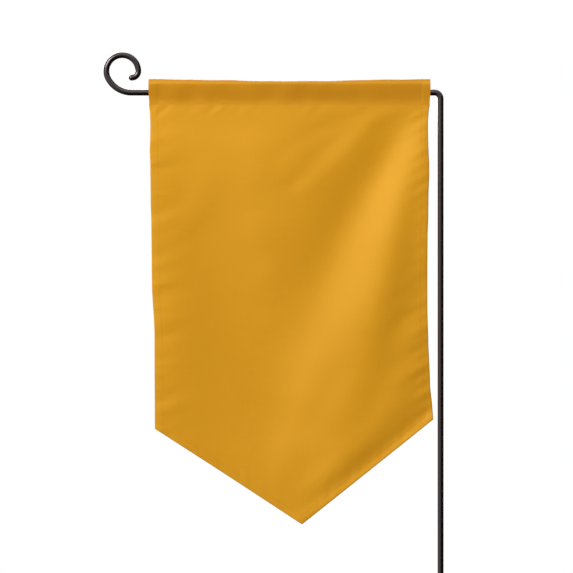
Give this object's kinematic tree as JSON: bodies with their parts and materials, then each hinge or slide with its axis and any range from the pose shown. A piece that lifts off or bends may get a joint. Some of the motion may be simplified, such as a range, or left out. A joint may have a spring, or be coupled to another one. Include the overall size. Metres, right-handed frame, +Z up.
{
  "type": "garden flag on stand",
  "caption": "Small garden flag with a pointed lower edge, hung by its pole pocket on a scroll-ended arm of a black steel rod stand with a step-in fork.",
  "frame": {"origin": "on the upright's axis at the ground line, in the middle of the step bar's underside", "axes": "+Z up along the upright, the arm runs along -X, the front of the flag faces -Y"},
  "size_m": [0.4151, 0.015, 0.9131],
  "materials": {
    "black_powder_coat": "satin black powder coat on steel bar",
    "ochre_cloth": "matt plain-weave polyester, ochre yellow",
    "ochre_thread": "polyester sewing thread to match the cloth"
  },
  "bodies": {
    "stake": {"lower_rod": "black_powder_coat", "step_bar": "black_powder_coat", "prong_left": "black_powder_coat", "prong_right": "black_powder_coat"},
    "sleeve": {"connector_sleeve": "black_powder_coat"},
    "arm": {"upper_rod": "black_powder_coat"},
    "pocket": {"pole_pocket": "ochre_cloth", "pocket_seam_thread": "ochre_thread"},
    "panel": {"flag_panel": "ochre_cloth", "side_hem_left": "ochre_cloth", "side_hem_right": "ochre_cloth", "bottom_hem_left": "ochre_cloth", "bottom_hem_right": "ochre_cloth", "side_stitch_left": "ochre_thread", "side_stitch_right": "ochre_thread", "bottom_stitch_left": "ochre_thread", "bottom_stitch_right": "ochre_thread"}
  },
  "joints": [
    {"name": "section_lift", "type": "slide", "parent": "stake", "child": "sleeve", "axis": [0, 0, 1], "range_m": [0, 0.03]},
    {"name": "arm_swivel", "type": "hinge", "parent": "sleeve", "child": "arm", "pos_m": [0, 0, 0.2], "axis": [0, 0, 1], "continuous": true},
    {"name": "flag_slide", "type": "slide", "parent": "arm", "child": "pocket", "axis": [1, 0, 0], "range_m": [-0.01, 0.002]},
    {"name": "flag_swing", "type": "hinge", "parent": "pocket", "child": "panel", "pos_m": [-0.16, 0, 0.737], "axis": [1, 0, 0], "range_deg": [-75, 75]}
  ]
}
